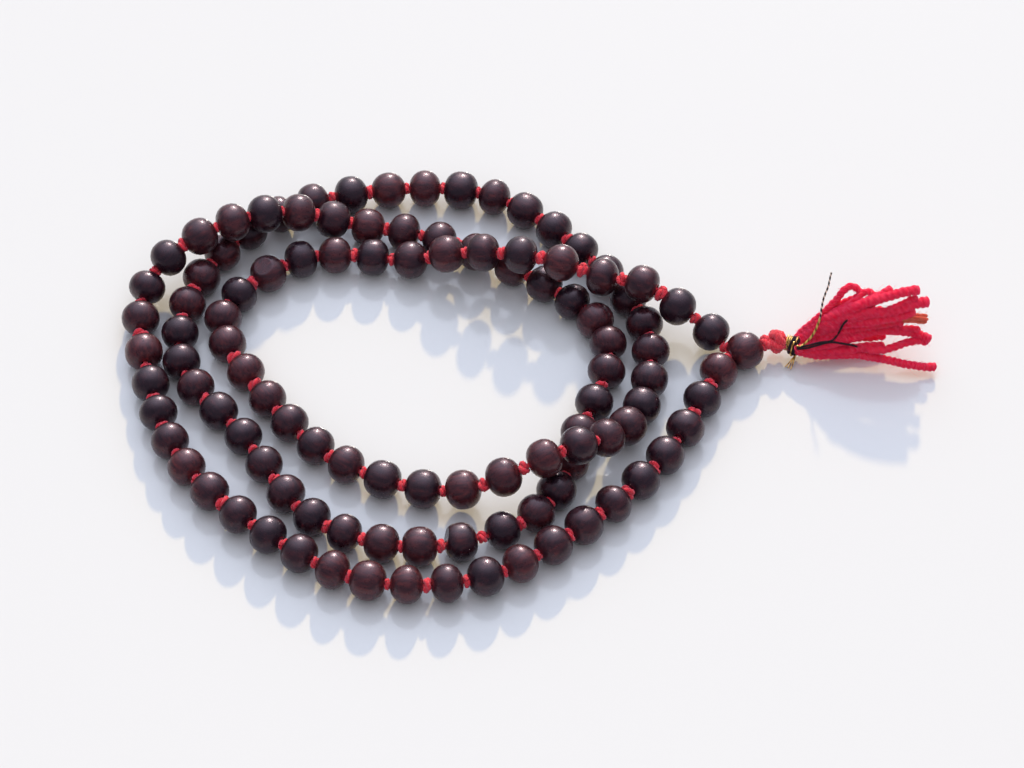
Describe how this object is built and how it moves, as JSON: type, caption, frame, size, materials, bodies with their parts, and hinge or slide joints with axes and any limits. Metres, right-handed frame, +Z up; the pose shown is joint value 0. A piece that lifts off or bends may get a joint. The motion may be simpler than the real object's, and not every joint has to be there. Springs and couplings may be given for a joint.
{
  "type": "mala_prayer_beads",
  "caption": "Mala prayer beads of near-black polished wood, hand-knotted on a red cord and laid in three coils, with a guru bead and a red yarn tassel bound in gold and black.",
  "frame": {"origin": "under the middle of the object's box, on the surface that it lies on", "axes": "+Z up, +X from the coils to the tassel, +Y from the near coil side to the far one"},
  "size_m": [0.1685, 0.1149, 0.0181],
  "materials": {
    "dark_wood": "polished near-black brown hardwood, satin to gloss, fine grain",
    "red_cotton": "matte twisted cotton cord, bright red",
    "red_yarn": "soft plied red yarn with a few stray fibres",
    "gold_thread": "metallic gold thread twisted with a dark one",
    "black_thread": "black waxed thread"
  },
  "bodies": {
    "root": {"bead_run_022_032": "dark_wood", "bead_run_033_043": "dark_wood", "bead_run_044_054": "dark_wood", "bead_run_055_065": "dark_wood", "bead_run_066_076": "dark_wood", "bead_run_077_087": "dark_wood", "cord_leg_first": "red_cotton", "cord_leg_last": "red_cotton"},
    "guru": {"guru_bead": "dark_wood"},
    "knot": {"guru_knot": "red_cotton", "gold_binding": "gold_thread", "black_binding": "black_thread", "metallic_stub": "gold_thread"},
    "tassel": {"tassel_yarns": "red_yarn", "metallic_tail": "gold_thread", "black_tail_long": "black_thread", "black_tail_short": "black_thread"},
    "bead_001": {"bead_001": "dark_wood"},
    "bead_002": {"bead_002": "dark_wood"},
    "bead_003": {"bead_003": "dark_wood"},
    "bead_004": {"bead_004": "dark_wood"},
    "bead_005": {"bead_005": "dark_wood"},
    "bead_006": {"bead_006": "dark_wood"},
    "bead_007": {"bead_007": "dark_wood"},
    "bead_008": {"bead_008": "dark_wood"},
    "bead_009": {"bead_009": "dark_wood"},
    "bead_010": {"bead_010": "dark_wood"},
    "bead_011": {"bead_011": "dark_wood"},
    "bead_012": {"bead_012": "dark_wood"},
    "bead_013": {"bead_013": "dark_wood"},
    "bead_014": {"bead_014": "dark_wood"},
    "bead_015": {"bead_015": "dark_wood"},
    "bead_016": {"bead_016": "dark_wood"},
    "bead_017": {"bead_017": "dark_wood"},
    "bead_018": {"bead_018": "dark_wood"},
    "bead_019": {"bead_019": "dark_wood"},
    "bead_020": {"bead_020": "dark_wood"},
    "bead_021": {"bead_021": "dark_wood"},
    "bead_088": {"bead_088": "dark_wood"},
    "bead_089": {"bead_089": "dark_wood"},
    "bead_090": {"bead_090": "dark_wood"},
    "bead_091": {"bead_091": "dark_wood"},
    "bead_092": {"bead_092": "dark_wood"},
    "bead_093": {"bead_093": "dark_wood"},
    "bead_094": {"bead_094": "dark_wood"},
    "bead_095": {"bead_095": "dark_wood"},
    "bead_096": {"bead_096": "dark_wood"},
    "bead_097": {"bead_097": "dark_wood"},
    "bead_098": {"bead_098": "dark_wood"},
    "bead_099": {"bead_099": "dark_wood"},
    "bead_100": {"bead_100": "dark_wood"},
    "bead_101": {"bead_101": "dark_wood"},
    "bead_102": {"bead_102": "dark_wood"},
    "bead_103": {"bead_103": "dark_wood"},
    "bead_104": {"bead_104": "dark_wood"},
    "bead_105": {"bead_105": "dark_wood"},
    "bead_106": {"bead_106": "dark_wood"},
    "bead_107": {"bead_107": "dark_wood"},
    "bead_108": {"bead_108": "dark_wood"}
  },
  "joints": [
    {"name": "guru_spin", "type": "hinge", "parent": "root", "child": "guru", "pos_m": [0.044, 0.007, 0.0038], "axis": [0.8988, 0.4384, 0], "continuous": true},
    {"name": "knot_swing", "type": "hinge", "parent": "root", "child": "knot", "pos_m": [0.0471, 0.0085, 0.0038], "axis": [0, 0, 1], "range_deg": [-25, 25]},
    {"name": "skirt_lift", "type": "hinge", "parent": "knot", "child": "tassel", "pos_m": [0.0571, 0.0084, 0.0032], "axis": [0, -1, 0], "range_deg": [0, 50]},
    {"name": "spin_bead_001", "type": "hinge", "parent": "root", "child": "bead_001", "pos_m": [0.0385, 0.0015, 0.0038], "axis": [-0.4705, -0.8824, 0], "continuous": true},
    {"name": "spin_bead_002", "type": "hinge", "parent": "root", "child": "bead_002", "pos_m": [0.03485, -0.00617, 0.0038], "axis": [-0.4297, -0.903, 0], "continuous": true},
    {"name": "spin_bead_003", "type": "hinge", "parent": "root", "child": "bead_003", "pos_m": [0.0312, -0.01383, 0.0038], "axis": [-0.4678, -0.8838, 0], "continuous": true},
    {"name": "spin_bead_004", "type": "hinge", "parent": "root", "child": "bead_004", "pos_m": [0.027, -0.021, 0.0038], "axis": [-0.5588, -0.8293, 0], "continuous": true},
    {"name": "spin_bead_005", "type": "hinge", "parent": "root", "child": "bead_005", "pos_m": [0.02198, -0.02752, 0.0038], "axis": [-0.6454, -0.7639, 0], "continuous": true},
    {"name": "spin_bead_006", "type": "hinge", "parent": "root", "child": "bead_006", "pos_m": [0.01641, -0.03354, 0.0038], "axis": [-0.7071, -0.7071, 0], "continuous": true},
    {"name": "spin_bead_007", "type": "hinge", "parent": "root", "child": "bead_007", "pos_m": [0.0105, -0.039, 0.0038], "axis": [-0.7506, -0.6607, 0], "continuous": true},
    {"name": "spin_bead_008", "type": "hinge", "parent": "root", "child": "bead_008", "pos_m": [0.00435, -0.04415, 0.0038], "axis": [-0.7918, -0.6107, 0], "continuous": true},
    {"name": "spin_bead_009", "type": "hinge", "parent": "root", "child": "bead_009", "pos_m": [-0.00213, -0.04874, 0.0038], "axis": [-0.862, -0.5069, 0], "continuous": true},
    {"name": "spin_bead_010", "type": "hinge", "parent": "root", "child": "bead_010", "pos_m": [-0.009, -0.052, 0.0038], "axis": [-0.9457, -0.325, 0], "continuous": true},
    {"name": "spin_bead_011", "type": "hinge", "parent": "root", "child": "bead_011", "pos_m": [-0.01652, -0.05368, 0.0038], "axis": [-0.9914, -0.1309, 0], "continuous": true},
    {"name": "spin_bead_012", "type": "hinge", "parent": "root", "child": "bead_012", "pos_m": [-0.02443, -0.05404, 0.0038], "axis": [-0.999, 0.0442, 0], "continuous": true},
    {"name": "spin_bead_013", "type": "hinge", "parent": "root", "child": "bead_013", "pos_m": [-0.032, -0.053, 0.0038], "axis": [-0.9689, 0.2475, 0], "continuous": true},
    {"name": "spin_bead_014", "type": "hinge", "parent": "root", "child": "bead_014", "pos_m": [-0.039, -0.05031, 0.0038], "axis": [-0.8964, 0.4433, 0], "continuous": true},
    {"name": "spin_bead_015", "type": "hinge", "parent": "root", "child": "bead_015", "pos_m": [-0.04567, -0.04624, 0.0038], "axis": [-0.8277, 0.5612, 0], "continuous": true},
    {"name": "spin_bead_016", "type": "hinge", "parent": "root", "child": "bead_016", "pos_m": [-0.052, -0.0415, 0.0038], "axis": [-0.7829, 0.6221, 0], "continuous": true},
    {"name": "spin_bead_017", "type": "hinge", "parent": "root", "child": "bead_017", "pos_m": [-0.0582, -0.03628, 0.0038], "axis": [-0.7358, 0.6772, 0], "continuous": true},
    {"name": "spin_bead_018", "type": "hinge", "parent": "root", "child": "bead_018", "pos_m": [-0.06407, -0.03039, 0.0038], "axis": [-0.6603, 0.751, 0], "continuous": true},
    {"name": "spin_bead_019", "type": "hinge", "parent": "root", "child": "bead_019", "pos_m": [-0.069, -0.024, 0.0038], "axis": [-0.5455, 0.8381, 0], "continuous": true},
    {"name": "spin_bead_020", "type": "hinge", "parent": "root", "child": "bead_020", "pos_m": [-0.0727, -0.01713, 0.0038], "axis": [-0.4133, 0.9106, 0], "continuous": true},
    {"name": "spin_bead_021", "type": "hinge", "parent": "root", "child": "bead_021", "pos_m": [-0.07546, -0.00976, 0.0038], "axis": [-0.3022, 0.9532, 0], "continuous": true},
    {"name": "spin_bead_088", "type": "hinge", "parent": "root", "child": "bead_088", "pos_m": [-0.037, -0.0235, 0.0038], "axis": [-0.8432, 0.5376, 0], "continuous": true},
    {"name": "spin_bead_089", "type": "hinge", "parent": "root", "child": "bead_089", "pos_m": [-0.04326, -0.01857, 0.0038], "axis": [-0.7309, 0.6825, 0], "continuous": true},
    {"name": "spin_bead_090", "type": "hinge", "parent": "root", "child": "bead_090", "pos_m": [-0.04874, -0.01254, 0.0038], "axis": [-0.6315, 0.7754, 0], "continuous": true},
    {"name": "spin_bead_091", "type": "hinge", "parent": "root", "child": "bead_091", "pos_m": [-0.0535, -0.006, 0.0038], "axis": [-0.5694, 0.822, 0], "continuous": true},
    {"name": "spin_bead_092", "type": "hinge", "parent": "root", "child": "bead_092", "pos_m": [-0.05826, 0.0012, 0.0038], "axis": [-0.5082, 0.8612, 0], "continuous": true},
    {"name": "spin_bead_093", "type": "hinge", "parent": "root", "child": "bead_093", "pos_m": [-0.0623, 0.00891, 0.0038], "axis": [-0.3339, 0.9426, 0], "continuous": true},
    {"name": "spin_bead_094", "type": "hinge", "parent": "root", "child": "bead_094", "pos_m": [-0.0635, 0.016, 0.0038], "axis": [0.1307, 0.9914, 0], "continuous": true},
    {"name": "spin_bead_095", "type": "hinge", "parent": "root", "child": "bead_095", "pos_m": [-0.0605, 0.02254, 0.0038], "axis": [0.5782, 0.8159, 0], "continuous": true},
    {"name": "spin_bead_096", "type": "hinge", "parent": "root", "child": "bead_096", "pos_m": [-0.05467, 0.02846, 0.0038], "axis": [0.782, 0.6233, 0], "continuous": true},
    {"name": "spin_bead_097", "type": "hinge", "parent": "root", "child": "bead_097", "pos_m": [-0.048, 0.0325, 0.0038], "axis": [0.9334, 0.3588, 0], "continuous": true},
    {"name": "spin_bead_098", "type": "hinge", "parent": "root", "child": "bead_098", "pos_m": [-0.04089, 0.03376, 0.0038], "axis": [0.9991, 0.0418, 0.0015], "continuous": true},
    {"name": "spin_bead_099", "type": "hinge", "parent": "root", "child": "bead_099", "pos_m": [-0.03294, 0.03313, 0.00383], "axis": [0.9936, -0.11, 0.025], "continuous": true},
    {"name": "spin_bead_100", "type": "hinge", "parent": "root", "child": "bead_100", "pos_m": [-0.025, 0.032, 0.0042], "axis": [0.9641, -0.1459, 0.222], "continuous": true},
    {"name": "spin_bead_101", "type": "hinge", "parent": "root", "child": "bead_101", "pos_m": [-0.01741, 0.03078, 0.0074], "axis": [0.9259, -0.1795, 0.3323], "continuous": true},
    {"name": "spin_bead_102", "type": "hinge", "parent": "root", "child": "bead_102", "pos_m": [-0.00982, 0.02906, 0.00965], "axis": [0.9452, -0.2318, 0.2301], "continuous": true},
    {"name": "spin_bead_103", "type": "hinge", "parent": "root", "child": "bead_103", "pos_m": [-0.002, 0.027, 0.01115], "axis": [0.9612, -0.259, 0.0952], "continuous": true},
    {"name": "spin_bead_104", "type": "hinge", "parent": "root", "child": "bead_104", "pos_m": [0.00633, 0.0247, 0.01125], "axis": [0.957, -0.2791, -0.0793], "continuous": true},
    {"name": "spin_bead_105", "type": "hinge", "parent": "root", "child": "bead_105", "pos_m": [0.01489, 0.02207, 0.00975], "axis": [0.9461, -0.3238, -0.0113], "continuous": true},
    {"name": "spin_bead_106", "type": "hinge", "parent": "root", "child": "bead_106", "pos_m": [0.023, 0.019, 0.01105], "axis": [0.9115, -0.401, -0.0917], "continuous": true},
    {"name": "spin_bead_107", "type": "hinge", "parent": "root", "child": "bead_107", "pos_m": [0.0303, 0.0153, 0.0082], "axis": [0.819, -0.4545, -0.3502], "continuous": true},
    {"name": "spin_bead_108", "type": "hinge", "parent": "root", "child": "bead_108", "pos_m": [0.03715, 0.01115, 0.005], "axis": [0.7129, -0.6386, -0.2897], "continuous": true}
  ]
}
